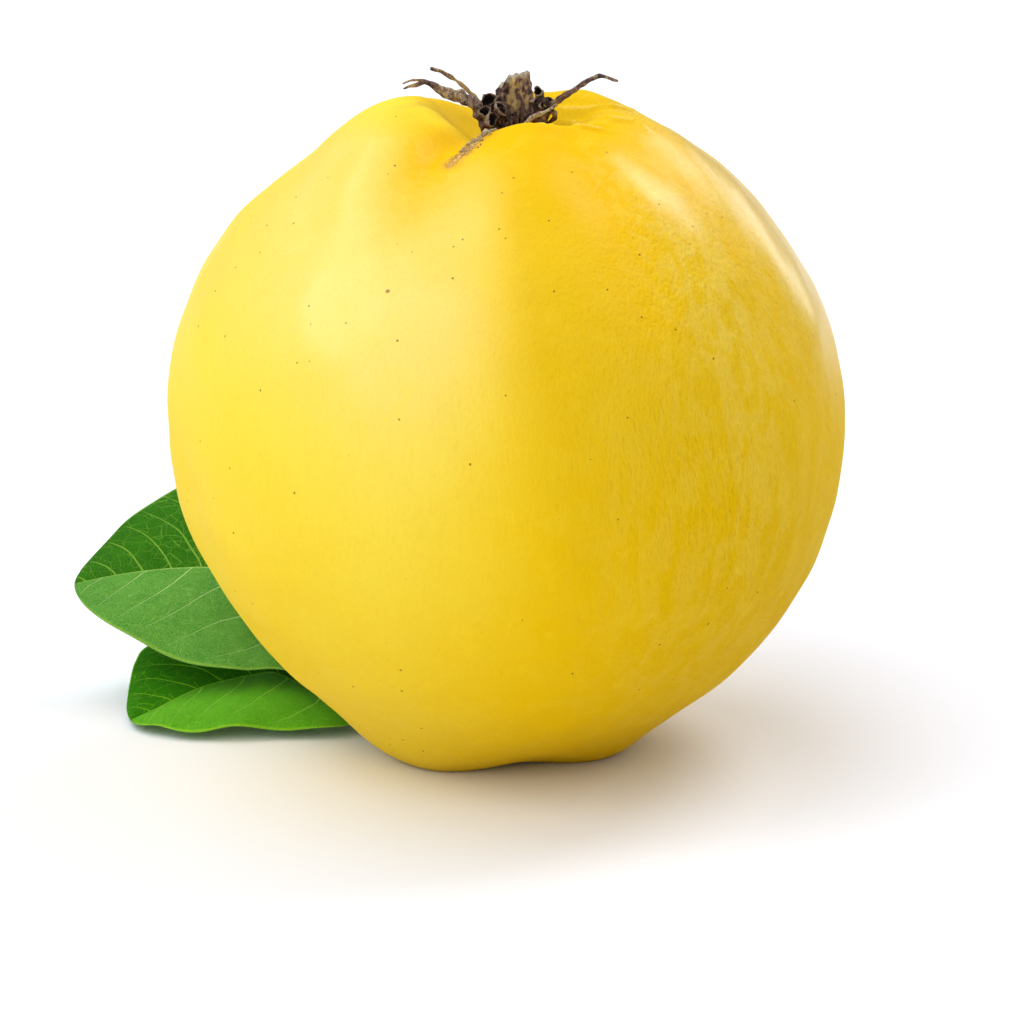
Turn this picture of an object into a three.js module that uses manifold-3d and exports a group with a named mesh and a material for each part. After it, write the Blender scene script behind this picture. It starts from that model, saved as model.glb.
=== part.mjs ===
// A ripe quince standing on its stalk end, with its withered flower parts on top
// and two leaves of its spur spread out at the left. Millimetres, +Z up, the fruit
// stands on z = 0. A direction on the fruit is given by two angles in degrees:
// "down" from straight up, "round" from +X towards +Y.
import * as THREE from "three";
import { mergeVertices } from "three/addons/utils/BufferGeometryUtils.js";
import Module from "manifold-3d";

const wasm = await Module();
wasm.setup();

// The fruit's size and its place in the part's frame
const RADIUS = 44.8;
const HALF_HEIGHT = 41.8;
const AXIS_X = 6.5;
const AXIS_Y = 0;

// Broad forms of the fruit: down, round, reach down, reach round (degrees), out (mm)
const SWELLINGS = {
  leftShoulder: [18, 178, 13, 32, 3.3],
  frontShoulder: [19, 276, 12, 24, 1.8],
  rightShoulder: [16, 38, 13, 30, 3.0],
  backShoulder: [20, 75, 14, 26, 0.6],
  rightSlope: [37, 0, 18, 34, 1.7],
  rightCheek: [68, 0, 22, 38, 0.6],
  leftFlank: [100, 185, 30, 44, -2.7],
  leftFoot: [132, 195, 22, 40, -1.4],
  frontFoot: [160, 225, 11, 18, 3.0],
  rightFoot: [160, 345, 11, 18, 3.0],
  backFoot: [160, 95, 11, 18, 3.0],
};

// Grooves that run down the fruit: round, first and last down angle, width, depth (mm)
const FURROWS = {
  crack: [247, 7, 40, 2.4, 1.8],
  frontValley: [247, 9, 60, 7.5, 1.5],
  middleValley: [299, 12, 74, 5.5, 0.9],
  rightValley: [328, 12, 80, 5.5, 0.8],
  sideGroove: [6, 8, 50, 3.5, 1.6],
  farGroove: [60, 12, 60, 5.0, 0.6],
  backNotch: [108, 5, 50, 5.0, 3.2],
  leafValley: [163, 176, 138, 9.5, 3.6],
};

// The hollow that holds the calyx, and the cavity of the stalk below
const BASIN_DEPTH = 8.0;
const BASIN_FLOOR = 4;
const BASIN_RIM = 17;
const CALYX_TILT = 3;
const CAVITY_DEPTH = 9.5;
const CAVITY_FLOOR = 4;
const CAVITY_RIM = 16;

// Steps of the fruit's surface, and how far its rings crowd towards the poles
const FRUIT_ROUND = 76;
const FRUIT_DOWN = 60;
const CROWDING = 0.5;

// The dish of the calyx: air below it, its thickness, and its reach in degrees
const GAP = 0.6;
const CUP_THICK = 0.9;
const CUP_REACH = 9;

// Sepals: points of the middle line, then half width and half thickness along it
const SEPALS = [
  {
    line: [
      [-0.9, 0.5, 78.8], [-2.1, 0.4, 81.6], [-3.2, 0.1, 84.6], [-5.3, -0.4, 86.0],
      [-6.9, -0.8, 86.4], [-8.2, -0.9, 86.9], [-9.6, -1.0, 87.4], [-10.8, -1.3, 87.3],
      [-12.4, -1.9, 86.8],
    ],
    size: [[1.3, 0.6], [1.0, 0.6], [0.75, 0.6], [0.6, 0.5], [0.45, 0.4], [0.3, 0.3]],
  },
  {
    line: [[-9.4, -0.9, 87.3], [-10.6, -0.6, 87.0], [-11.6, -0.3, 86.5], [-12.3, -0.1, 86.0]],
    size: [[0.35, 0.3], [0.28, 0.25]],
  },
  {
    line: [
      [0.3, 2.6, 78.8], [-1.3, 2.6, 82.2], [-2.4, 2.4, 84.6], [-3.7, 2.2, 86.4],
      [-5.0, 2.0, 87.6], [-6.7, 1.8, 88.7], [-7.8, 1.6, 89.3], [-8.9, 1.5, 89.3],
    ],
    size: [[1.1, 0.45], [0.7, 0.4], [0.42, 0.32], [0.34, 0.3], [0.3, 0.28], [0.34, 0.3]],
  },
  {
    line: [
      [3.8, 0.6, 79.0], [5.5, 0.0, 81.6], [6.9, -0.6, 83.6], [8.6, -1.0, 85.0],
      [10.6, -1.4, 86.4], [12.3, -1.7, 87.6], [13.4, -1.8, 88.1], [14.6, -1.9, 87.8],
      [15.7, -2.0, 87.3],
    ],
    size: [[1.1, 0.6], [0.8, 0.55], [0.6, 0.45], [0.5, 0.4], [0.42, 0.36], [0.32, 0.3]],
  },
  {
    line: [[0.9, -3.9, 79.2], [0.3, -5.4, 81.6], [-0.9, -7.0, 83.9], [-2.4, -8.6, 84.5]],
    size: [[1.1, 0.5], [0.9, 0.5], [0.7, 0.4], [0.4, 0.3]],
  },
];

// The stout upright sepal: its outline from the front (x, z), its thickness and depth
const STOUT = {
  outline: [
    [0.9, 78.4], [0.5, 81.0], [-0.2, 83.4], [-0.4, 85.4], [0.2, 86.8], [1.4, 87.6],
    [3.0, 88.0], [4.1, 88.6], [4.3, 87.6], [4.3, 85.2], [4.5, 82.6], [4.3, 78.4],
  ],
  front: 0.6,
  thick: 1.9,
};

// Withered stamens and styles: a seeded tuft on a small disc
const STAMENS = {
  at: [2.0, -1.3],
  count: 15,
  seed: 7,
  disc: [1.7, 1.1],
  foot: 79.0,
  low: 81.4,
  high: 83.4,
  size: [[0.3, 0.3], [0.26, 0.26], [0.4, 0.36]],
};

// The woody stub of the spur in the stalk cavity: height and radius of its rings
const STUB = [[1.6, 2.5], [2.2, 3.1], [4.0, 2.7], [6.2, 2.5], [7.6, 2.7], [8.3, 2.2]];
const STUB_SIDES = 18;

// Leaves: front margin from base to tip, tip, back margin from tip to base, midrib,
// and the leaf stalk from the stub to the blade
const BLADE_THICK = 0.7;
const BLADE_PUFF = 0.8;
const BLADE_LONG = 26;
const BLADE_HALF = 6;
const LEAVES = {
  leaf_upper: {
    color: 0x55892f,
    near: [
      [-16.5, 8.6, 3.0], [-22, 8.2, 4.9], [-29.2, 7.5, 7.6], [-34.3, 7.5, 7.2],
      [-39.4, 8.5, 7.4], [-44.7, 10.5, 8.7], [-50.8, 13.5, 10.8], [-55.0, 17.0, 12.7],
      [-57.1, 20.0, 13.8],
    ],
    tip: [-58.0, 23.0, 14.9],
    far: [
      [-57.5, 26.0, 15.9], [-56.5, 28.0, 16.8], [-54.1, 31.0, 18.9], [-51.6, 33.5, 21.3],
      [-48.6, 35.5, 23.2], [-44.7, 37.0, 25.2], [-40.5, 38.0, 26.5], [-31.5, 38.0, 24.0],
      [-25.5, 33.0, 15.5], [-21, 24.0, 8.0], [-16.5, 8.6, 3.0],
    ],
    middle: [
      [-16.5, 8.6, 3.0], [-22.5, 13.5, 6.0], [-28.6, 18.6, 11.6], [-34.0, 22.2, 15.6],
      [-38.8, 24.0, 16.7], [-43.6, 24.5, 16.6], [-48.4, 24.5, 16.2], [-53.2, 24.0, 15.6],
      [-58.0, 23.0, 14.9],
    ],
    stalk: [[-3.5, 1.9, 2.6], [-8, 4.2, 2.0], [-12.5, 6.5, 2.2]],
  },
  leaf_lower: {
    color: 0x3f7a1e,
    near: [
      [-17.0, 2.6, 1.9], [-22.0, -0.5, 1.6], [-30.8, -1.0, 1.8], [-34.7, -1.5, 1.9],
      [-38.8, -1.5, 1.6], [-41.9, -1.0, 1.6], [-45.0, 0.5, 1.6], [-47.2, 2.0, 1.2],
    ],
    tip: [-48.9, 4.5, 1.0],
    far: [
      [-49.9, 9.0, 1.2], [-50.2, 13.5, 1.6], [-50.2, 18.0, 2.4], [-49.8, 23.0, 3.7],
      [-48.2, 27.0, 5.0], [-40.5, 31.0, 8.2], [-34.0, 31.0, 7.6], [-27.0, 25.0, 4.6],
      [-21.0, 12.5, 2.0], [-17.0, 2.6, 1.9],
    ],
    middle: [
      [-17.0, 2.6, 1.9], [-22.5, 7.5, 2.6], [-29.6, 13.5, 4.6], [-32.9, 14.5, 4.2],
      [-36.0, 14.5, 3.6], [-39.9, 13.5, 2.8], [-42.8, 11.5, 2.1], [-45.4, 9.0, 1.4],
      [-48.9, 4.5, 1.0],
    ],
    stalk: [[-3.9, -0.2, 1.5], [-9, 0.5, 1.3], [-13, 1.6, 1.5]],
  },
};
const STALK_RADIUS = 0.85;
const RIB_RADIUS = 0.42;

const radians = THREE.MathUtils.degToRad;
const degrees = THREE.MathUtils.radToDeg;
const smooth = (a, b, x) => THREE.MathUtils.smoothstep(x, a, b);

function heading(down, round) {
  const d = radians(down);
  const r = radians(round);
  return new THREE.Vector3(Math.sin(d) * Math.cos(r), Math.sin(d) * Math.sin(r), Math.cos(d));
}

// Share of a swelling that is felt in a direction: full at its middle, none far off
function felt(direction, [down, round, tall, wide]) {
  const middle = heading(down, round);
  const reach = direction.dot(middle);
  if (reach <= 0) return 0;
  const across = new THREE.Vector3(-Math.sin(radians(round)), Math.cos(radians(round)), 0);
  const along = new THREE.Vector3().crossVectors(across, middle);
  const a = degrees(Math.atan2(direction.dot(along), reach)) / tall;
  const b = degrees(Math.atan2(direction.dot(across), reach)) / wide;
  return Math.exp(-a * a - b * b);
}

// Share of a furrow: full on its line, fading at both ends and to the sides
function furrowed(down, round, base, [at, start, end, width]) {
  const apart = radians(round - at);
  const side = base * Math.sin(radians(down)) * Math.sin(apart) / width;
  const span = (down - start) / (end - start);
  const window = smooth(0, 0.15, span) * (1 - smooth(0.25, 1, span));
  return Math.exp(-side * side) * window * smooth(0, 0.7, Math.cos(apart));
}

const calyxHeading = heading(CALYX_TILT, 0);

// Distance from the fruit's middle to its skin in a direction
function reachOf(direction) {
  const down = degrees(Math.acos(THREE.MathUtils.clamp(direction.z, -1, 1)));
  const round = degrees(Math.atan2(direction.y, direction.x));
  const flat = Math.hypot(direction.x, direction.y) / RADIUS;
  const base = 1 / Math.hypot(flat, direction.z / HALF_HEIGHT);
  let reach = base;
  for (const form of Object.values(SWELLINGS)) reach += form[4] * felt(direction, form);
  for (const form of Object.values(FURROWS)) {
    reach -= form[4] * furrowed(down, round, base, form);
  }
  const fromCalyx = degrees(direction.angleTo(calyxHeading));
  reach -= BASIN_DEPTH * (1 - smooth(BASIN_FLOOR, BASIN_RIM, fromCalyx));
  return reach - CAVITY_DEPTH * (1 - smooth(CAVITY_FLOOR, CAVITY_RIM, 180 - down));
}

// A point off the skin by some millimetres, measured from the fruit's middle
function skinPoint(direction, off = 0) {
  const at = direction.clone().multiplyScalar(reachOf(direction) + off);
  at.z += HALF_HEIGHT;
  return at;
}

function fruitGeometry() {
  const geometry = new THREE.SphereGeometry(1, FRUIT_ROUND, FRUIT_DOWN);
  geometry.rotateX(Math.PI / 2);
  const place = geometry.getAttribute("position");
  const direction = new THREE.Vector3();
  for (let i = 0; i < place.count; i++) {
    direction.fromBufferAttribute(place, i).normalize();
    const share = Math.acos(direction.z) / Math.PI;
    const down = 180 * (share - CROWDING * Math.sin(2 * Math.PI * share) / (2 * Math.PI));
    const round = degrees(Math.atan2(direction.y, direction.x));
    const at = skinPoint(heading(down, round));
    place.setXYZ(i, at.x, at.y, Math.max(at.z, 0));
  }
  return geometry;
}

// Closed geometry from rings of equally many points, each end closed by a fan
function loft(rings) {
  const sides = rings[0].length;
  const points = rings.flat();
  const faces = [];
  for (let i = 0; i < rings.length - 1; i++) {
    for (let j = 0; j < sides; j++) {
      const a = i * sides + j;
      const b = i * sides + (j + 1) % sides;
      faces.push(a, b, b + sides, a, b + sides, a + sides);
    }
  }
  for (const [ring, first, turn] of [
    [rings[0], 0, true],
    [rings.at(-1), (rings.length - 1) * sides, false],
  ]) {
    const middle = ring.reduce((sum, p) => sum.add(p), new THREE.Vector3());
    points.push(middle.divideScalar(sides));
    for (let j = 0; j < sides; j++) {
      const pair = [first + j, first + (j + 1) % sides];
      if (turn) pair.reverse();
      faces.push(points.length - 1, ...pair);
    }
  }
  return new THREE.BufferGeometry().setFromPoints(points).setIndex(faces);
}

function solidOf(geometry) {
  const bare = new THREE.BufferGeometry();
  bare.setAttribute("position", geometry.getAttribute("position"));
  bare.setIndex(geometry.index);
  const merged = mergeVertices(bare, 1e-4);
  return new wasm.Manifold(new wasm.Mesh({
    numProp: 3,
    vertProperties: merged.getAttribute("position").array,
    triVerts: new Uint32Array(merged.index.array),
  }));
}

function fused(geometries) {
  const whole = geometries.map(solidOf).reduce((sum, piece) => sum.add(piece));
  const mesh = whole.getMesh();
  const geometry = new THREE.BufferGeometry();
  const place = new Float32Array(mesh.numVert * 3);
  for (let i = 0; i < mesh.numVert; i++) {
    place.set(mesh.vertProperties.subarray(i * mesh.numProp, i * mesh.numProp + 3), i * 3);
  }
  geometry.setAttribute("position", new THREE.BufferAttribute(place, 3));
  geometry.setIndex([...mesh.triVerts]);
  return geometry;
}

const vector = (p) => new THREE.Vector3(...p);

// Points at equal steps along a smooth line through the given ones
function alongLine(points, steps) {
  const curve = new THREE.CatmullRomCurve3(points.map(vector), false, "catmullrom", 0.5);
  curve.arcLengthDivisions = 800;
  return curve.getSpacedPoints(steps);
}

// Value of a list of pairs at a share of its length
function sizeAt(sizes, share) {
  const at = share * (sizes.length - 1);
  const i = Math.min(Math.floor(at), sizes.length - 2);
  return sizes[i].map((v, k) => THREE.MathUtils.lerp(v, sizes[i + 1][k], at - i));
}

// A withered strand: a tube with a flat oval section that narrows along its line
function strand(points, sizes, steps, sides) {
  const line = alongLine(points, steps);
  const rings = line.map((at, i) => {
    const ahead = line[Math.min(i + 1, steps)];
    const behind = line[Math.max(i - 1, 0)];
    const along = ahead.clone().sub(behind).normalize();
    const across = new THREE.Vector3(0, 1, 0);
    across.addScaledVector(along, -across.dot(along)).normalize();
    const over = new THREE.Vector3().crossVectors(along, across);
    const [wide, thick] = sizeAt(sizes, i / steps);
    return Array.from({ length: sides }, (_, j) => {
      const turn = 2 * Math.PI * j / sides;
      return at.clone()
        .addScaledVector(across, wide * Math.cos(turn))
        .addScaledVector(over, thick * Math.sin(turn));
    });
  });
  return loft(rings);
}

// The dish of the calyx: it follows the floor of the hollow and thins to its rim
function calyxCup() {
  const across = new THREE.Vector3(0, 1, 0);
  const along = new THREE.Vector3().crossVectors(across, calyxHeading);
  const ring = (angle, off) => Array.from({ length: 20 }, (_, j) => {
    const turn = 2 * Math.PI * j / 20;
    const direction = calyxHeading.clone().multiplyScalar(Math.cos(radians(angle)))
      .addScaledVector(along, Math.sin(radians(angle)) * Math.cos(turn))
      .addScaledVector(across, Math.sin(radians(angle)) * Math.sin(turn));
    return skinPoint(direction, off);
  });
  const under = [1.2, 3.2, 5, 7, CUP_REACH].map((angle) => ring(angle, GAP));
  const over = [CUP_REACH - 0.4, 7, 5, 3.2, 1.2].map((angle) => ring(angle, GAP + CUP_THICK));
  return loft([...under, ...over]);
}

// The stout sepal: its outline drawn out in depth, bowed a little to the front
function stoutSepal() {
  const shape = new THREE.Shape(STOUT.outline.map(([x, z]) => new THREE.Vector2(x, z)));
  const geometry = new THREE.ExtrudeGeometry(shape, {
    depth: STOUT.thick,
    bevelThickness: 0.3,
    bevelSize: 0.3,
    bevelSegments: 1,
    bevelOffset: -0.3,
  });
  geometry.deleteAttribute("uv");
  geometry.deleteAttribute("normal");
  geometry.rotateX(Math.PI / 2);
  geometry.translate(0, STOUT.front + STOUT.thick, 0);
  return mergeVertices(geometry, 1e-4);
}

function calyxGeometry() {
  const strands = SEPALS.map(({ line, size }) => strand(line, size, line.length * 2, 8));
  return fused([calyxCup(), stoutSepal(), ...strands]);
}

// Numbers between 0 and 1 that come out the same each time
function seeded(seed) {
  let state = seed;
  return () => {
    state = (state * 16807) % 2147483647;
    return state / 2147483647;
  };
}

function stamenGeometry() {
  const next = seeded(STAMENS.seed);
  const [x, y] = STAMENS.at;
  const around = (turn, wide, deep, z) =>
    new THREE.Vector3(x + wide * Math.cos(turn), y + deep * Math.sin(turn), z);
  const disc = [STAMENS.foot, STAMENS.foot + 1.4].map((z) =>
    Array.from({ length: 14 }, (_, j) => around(2 * Math.PI * j / 14, ...STAMENS.disc, z)));
  const filaments = Array.from({ length: STAMENS.count }, (_, i) => {
    const turn = 2 * Math.PI * (i + 0.6 * next()) / STAMENS.count;
    const spread = 0.4 + 0.5 * next();
    const top = THREE.MathUtils.lerp(STAMENS.low, STAMENS.high, next());
    const foot = around(turn, 0.8, 0.6, STAMENS.foot + 0.4);
    const head = around(turn, 0.9 + spread, 0.7 * spread, top);
    const bend = foot.clone().lerp(head, 0.5).setZ(top - 0.6);
    const line = [foot, bend, head].map((p) => p.toArray());
    return strand(line, STAMENS.size, 4, 6);
  });
  return fused([loft(disc), ...filaments]);
}

function stubGeometry() {
  return loft(STUB.map(([z, radius], i) => Array.from({ length: STUB_SIDES }, (_, j) => {
    const turn = 2 * Math.PI * j / STUB_SIDES;
    const knobby = radius * (1 + 0.05 * Math.sin(3 * turn + i));
    return new THREE.Vector3(knobby * Math.cos(turn), knobby * Math.sin(turn), z);
  })));
}

// Points at equal steps along the straight pieces between the given ones
function resampled(points, steps) {
  const path = [0];
  for (let i = 1; i < points.length; i++) {
    path.push(path[i - 1] + points[i].distanceTo(points[i - 1]));
  }
  return Array.from({ length: steps + 1 }, (_, k) => {
    const at = path.at(-1) * k / steps;
    const i = Math.max(path.findIndex((v) => v >= at - 1e-9), 1);
    const share = (at - path[i - 1]) / (path[i] - path[i - 1]);
    return points[i - 1].clone().lerp(points[i], share);
  });
}

// The middle surface of a blade: rows from base to tip, from one margin to the other
function bladeRows({ near, tip, far, middle }) {
  const outline = new THREE.CatmullRomCurve3(
    [...near, tip, ...far].map(vector), false, "catmullrom", 0.5,
  ).getPoints(600);
  const end = vector(tip);
  const distances = outline.map((p) => p.distanceTo(end));
  const turn = distances.indexOf(Math.min(...distances));
  const nearSide = resampled(outline.slice(0, turn + 1), BLADE_LONG);
  const farSide = resampled(outline.slice(turn).reverse(), BLADE_LONG);
  const rib = alongLine(middle, BLADE_LONG);
  return rib.map((at, i) => Array.from({ length: 2 * BLADE_HALF + 1 }, (_, j) => {
    const share = (j - BLADE_HALF) / BLADE_HALF;
    return at.clone().lerp(share < 0 ? nearSide[i] : farSide[i], Math.abs(share));
  }));
}

// Upward direction of each point of the middle surface
function bladeNormals(rows) {
  return rows.map((row, i) => row.map((_, j) => {
    const ahead = rows[Math.min(i + 1, rows.length - 2)][j];
    const behind = rows[Math.max(i - 1, 1)][j];
    const k = THREE.MathUtils.clamp(i, 1, rows.length - 2);
    const right = rows[k][Math.min(j + 1, row.length - 1)];
    const left = rows[k][Math.max(j - 1, 0)];
    const along = ahead.clone().sub(behind);
    const across = right.clone().sub(left);
    const up = along.cross(across).normalize();
    return up.z < 0 ? up.negate() : up;
  }));
}

// A blade with two faces a constant thickness apart and a closed rim between them
function bladeGeometry(leaf) {
  const rows = bladeRows(leaf);
  const normals = bladeNormals(rows);
  const inner = rows.slice(1, -1);
  const face = (side) => inner.map((row, i) => row.map((p, j) => {
    const share = Math.abs(j - BLADE_HALF) / BLADE_HALF;
    const puff = BLADE_PUFF * 4 * share * (1 - share);
    return p.clone().addScaledVector(normals[i + 1][j], puff + side * BLADE_THICK / 2);
  }));
  const rings = face(1).map((row, i) => [...row, ...face(-1)[i].reverse()]);
  const ends = [rows[0][0], rows.at(-1)[0]];
  return bladeLoft(rings, ends);
}

// Rings joined to each other and to one point at each end
function bladeLoft(rings, [base, tip]) {
  const sides = rings[0].length;
  const points = [...rings.flat(), base, tip];
  const faces = [];
  for (let i = 0; i < rings.length - 1; i++) {
    for (let j = 0; j < sides; j++) {
      const a = i * sides + j;
      const b = i * sides + (j + 1) % sides;
      const flip = j >= sides / 2;
      if (flip) faces.push(a, b, a + sides, b, b + sides, a + sides);
      else faces.push(a, b, b + sides, a, b + sides, a + sides);
    }
  }
  const last = (rings.length - 1) * sides;
  for (let j = 0; j < sides; j++) {
    const k = (j + 1) % sides;
    faces.push(points.length - 2, k, j, points.length - 1, last + j, last + k);
  }
  return new THREE.BufferGeometry().setFromPoints(points).setIndex(faces);
}

// A leaf: its blade, and one tapering tube that is leaf stalk first and midrib after
function leafGeometry(leaf) {
  const blade = bladeGeometry(leaf);
  const ribLine = [...leaf.stalk, ...leaf.middle.slice(0, -1)];
  const sizes = [STALK_RADIUS, STALK_RADIUS, 0.75, 0.6, 0.5, RIB_RADIUS, RIB_RADIUS, 0.38];
  const rib = strand(ribLine, sizes.map((r) => [r, r]), 34, 8);
  return fused([blade, rib]);
}

const root = new THREE.Group();
root.name = "quince";
root.position.set(AXIS_X, AXIS_Y, 0);

function add(name, geometry, color, roughness) {
  const mesh = new THREE.Mesh(geometry, new THREE.MeshStandardMaterial({ color, roughness }));
  mesh.name = name;
  root.add(mesh);
}

add("fruit", fruitGeometry(), 0xe8c53a, 0.5);
add("calyx", calyxGeometry(), 0x6e5540, 0.9);
add("stamens", stamenGeometry(), 0x33241c, 0.95);
add("stem", stubGeometry(), 0x6a5138, 0.9);
for (const [name, leaf] of Object.entries(LEAVES)) {
  add(name, leafGeometry(leaf), leaf.color, 0.6);
}

export default root;
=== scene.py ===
import math

import bpy
import numpy as np
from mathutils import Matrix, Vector


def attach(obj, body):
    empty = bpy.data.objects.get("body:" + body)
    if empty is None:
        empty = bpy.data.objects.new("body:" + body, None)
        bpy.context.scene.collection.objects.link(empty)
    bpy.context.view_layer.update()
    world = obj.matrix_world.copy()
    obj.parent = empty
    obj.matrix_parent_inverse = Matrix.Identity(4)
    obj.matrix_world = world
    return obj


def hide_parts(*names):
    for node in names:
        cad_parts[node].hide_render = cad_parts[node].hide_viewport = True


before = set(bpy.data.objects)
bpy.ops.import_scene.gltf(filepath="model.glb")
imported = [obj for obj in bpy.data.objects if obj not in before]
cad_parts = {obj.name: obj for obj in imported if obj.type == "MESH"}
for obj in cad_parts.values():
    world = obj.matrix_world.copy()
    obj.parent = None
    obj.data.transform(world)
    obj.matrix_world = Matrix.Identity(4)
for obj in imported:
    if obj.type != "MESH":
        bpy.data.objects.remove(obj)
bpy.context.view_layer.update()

MM = 0.001

# The fruit's form, in millimetres, as in the solids: its axis, its half sizes, its
# swellings (down, round, reach down, reach round, out) and its furrows (round, first
# and last down angle, width, depth). Down and round are degrees from the top and round
# the axis
AXIS = np.array([6.5, 0.0, 0.0])
RADIUS = 44.8
HALF_HEIGHT = 41.8
SWELLINGS = [
    (18, 178, 13, 32, 3.3), (19, 276, 12, 24, 1.8), (16, 38, 13, 30, 3.0),
    (20, 75, 14, 26, 0.6), (37, 0, 18, 34, 1.7), (68, 0, 22, 38, 0.6),
    (100, 185, 30, 44, -2.7), (132, 195, 22, 40, -1.4), (160, 225, 11, 18, 3.0),
    (160, 345, 11, 18, 3.0), (160, 95, 11, 18, 3.0), (16, 296, 6, 6, 1.45),
    (17, 175, 7, 14, -0.6), (16, 112, 5, 7, 0.85), (15, 222, 6, 12, -0.5),
]
CRACK_FURROW = (247, 7, 40, 2.4, 1.8)
VALLEYS = [(247, 9, 60, 7.5, 1.7), (299, 12, 74, 5.5, 1.0), (328, 12, 80, 5.5, 1.1)]
GROOVES = [(6, 8, 50, 3.5, 1.6), (60, 12, 60, 5.0, 0.6), (108, 5, 50, 5.0, 3.2)]
LEAF_VALLEY = (163, 176, 138, 9.5, 3.6)
# The hollow for the calyx and the stalk cavity: depth, and angles of floor and rim
BASIN = (8.0, 4, 17)
CALYX_TILT = 3
CAVITY = (9.5, 4, 16)

# Marks on the skin as lines of (down, round) directions
CRACK = [(12, 262), (15, 260), (18.1, 258.2), (21.9, 256.7), (23.9, 254.4), (26.5, 252.6)]
SCARS = [
    [(13.5, 46), (14.3, 34), (16.7, 18), (20.5, 14), (24, 16), (28, 14)],
    [(13.2, 31), (14.6, 14), (16.5, 352), (20.4, 343), (24, 346), (28, 342)],
    [(16.5, 318), (18, 321), (20.3, 327), (23, 330)],
    [(15, 290), (15.5, 300), (16.5, 309)],
]
# Places where the down is rubbed off and the skin shines: down, round and their reach
SHINE = [(47, 230, 24, 22), (34, 322, 13, 13), (41, 259, 17, 15), (54, 347, 34, 13)]
# Painted highlight: paler places where the highlights fall, painted as a sheen of pale yellow
SHEEN_PLACES = [(49, 231, 22, 23), (37, 260, 14, 13), (34, 224, 10, 12), (64, 254, 20, 14)]
# The golden band beside them, and the dull bloom, which along two bands is also a painted sheen
# where the highlights fall, as furrows without a depth
GOLDEN = (281, 2, 135, 8.5)
BLOOM_AND_SHEEN_BANDS = [(315, 22, 110, 6.0), (341, 30, 100, 5.5)]
# How much painted shade, in amber, each of the valleys gets
VALLEY_SHADE_SHARES = [1.0, 0.85, 0.8]
# Where the small dots are thickest: down, round and reach
SPOTTED = (36, 238, 26, 34)
# Single dark spots: down, round, radius in millimetres
SPOTS = [(55.3, 248.5, 0.36), (32.6, 256.9, 0.18), (37.5, 260.7, 0.16), (37.7, 289.2, 0.16),
         (36.4, 245.2, 0.18), (40.7, 207.5, 0.18), (67.0, 213.7, 0.19), (35.9, 215.6, 0.17),
         (31.4, 223.0, 0.15), (32.9, 211.0, 0.15), (46.4, 247.3, 0.15), (44.9, 262.1, 0.17),
         (46.4, 260.3, 0.15), (81.8, 284.5, 0.16), (91.5, 288.8, 0.17)]


def smooth(a, b, x):
    share = np.clip((x - a) / (b - a), 0, 1)
    return share * share * (3 - 2 * share)


def heading(down, round_):
    """Unit directions from two angles in degrees, which may be arrays."""
    d, r = np.radians(down), np.radians(round_)
    return np.stack([np.sin(d) * np.cos(r), np.sin(d) * np.sin(r), np.cos(d) + 0 * r], -1)


def lumps(points, size, seed):
    """Smooth seeded unevenness of about -1 to 1 with bumps of a size in millimetres."""
    waves = 14
    draw = np.random.default_rng(seed)
    total = np.zeros(len(points))
    for _ in range(waves):
        way = draw.normal(size=3)
        way *= 2 * math.pi / (size * draw.uniform(0.7, 1.5) * np.linalg.norm(way))
        total += np.sin(points @ way + draw.uniform(0, 2 * math.pi))
    return total / math.sqrt(waves)


def felt(direction, down, round_, tall, wide):
    """How much a swelling or mark is felt in each direction: 1 at its middle."""
    middle = heading(down, round_)
    across = np.array([-math.sin(math.radians(round_)), math.cos(math.radians(round_)), 0])
    along = np.cross(across, middle)
    reach = direction @ middle
    a = np.degrees(np.arctan2(direction @ along, reach)) / tall
    b = np.degrees(np.arctan2(direction @ across, reach)) / wide
    return np.where(reach > 0, np.exp(-a * a - b * b), 0)


def furrowed(down, round_, base, at, start, end, width):
    """How deep a furrow that runs down the fruit is at each place, as a share."""
    apart = np.radians(round_ - at)
    side = base * np.sin(np.radians(down)) * np.sin(apart) / width
    span = (down - start) / (end - start)
    window = smooth(0, 0.15, span) * (1 - smooth(0.25, 1, span))
    return np.exp(-side * side) * window * smooth(0, 0.7, np.cos(apart))


def from_calyx(direction):
    """Angles from the middle of the hollow, in degrees."""
    cosine = direction @ heading(CALYX_TILT, 0)
    return np.degrees(np.arccos(np.clip(cosine, -1, 1)))


def reach_of(down, round_):
    """Distance from the fruit's middle to its skin."""
    direction = heading(down, round_)
    flat = np.hypot(direction[..., 0], direction[..., 1]) / RADIUS
    base = 1 / np.hypot(flat, direction[..., 2] / HALF_HEIGHT)
    reach = base + sum(s[4] * felt(direction, *s[:4]) for s in SWELLINGS)
    for form in [CRACK_FURROW, *VALLEYS, *GROOVES, LEAF_VALLEY]:
        reach = reach - form[4] * furrowed(down, round_, base, *form[:4])
    deep, floor, rim = BASIN
    reach = reach - deep * (1 - smooth(floor, rim, from_calyx(direction)))
    deep, floor, rim = CAVITY
    return reach - deep * (1 - smooth(floor, rim, 180 - down))


def skin_point(down, round_, off=0.0):
    """Points on the skin or off it, in millimetres from the foot of the fruit's axis."""
    point = heading(down, round_) * (reach_of(down, round_) + off)[..., None]
    return point + np.array([0, 0, HALF_HEIGHT])


def near_line(points, line):
    """Distance of each point from a line on the skin, and the share of the way along it."""
    spots = np.array([skin_point(np.array(d), np.array(r)) for d, r in line])
    best = np.full(len(points), 1e9)
    share = np.zeros(len(points))
    for i, (a, b) in enumerate(zip(spots[:-1], spots[1:])):
        t = np.clip((points - a) @ (b - a) / ((b - a) @ (b - a)), 0, 1)
        apart = np.linalg.norm(points - a - t[:, None] * (b - a), axis=1)
        closer = apart < best
        best = np.where(closer, apart, best)
        share = np.where(closer, (i + t) / (len(spots) - 1), share)
    return best, share


# Meshes

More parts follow.
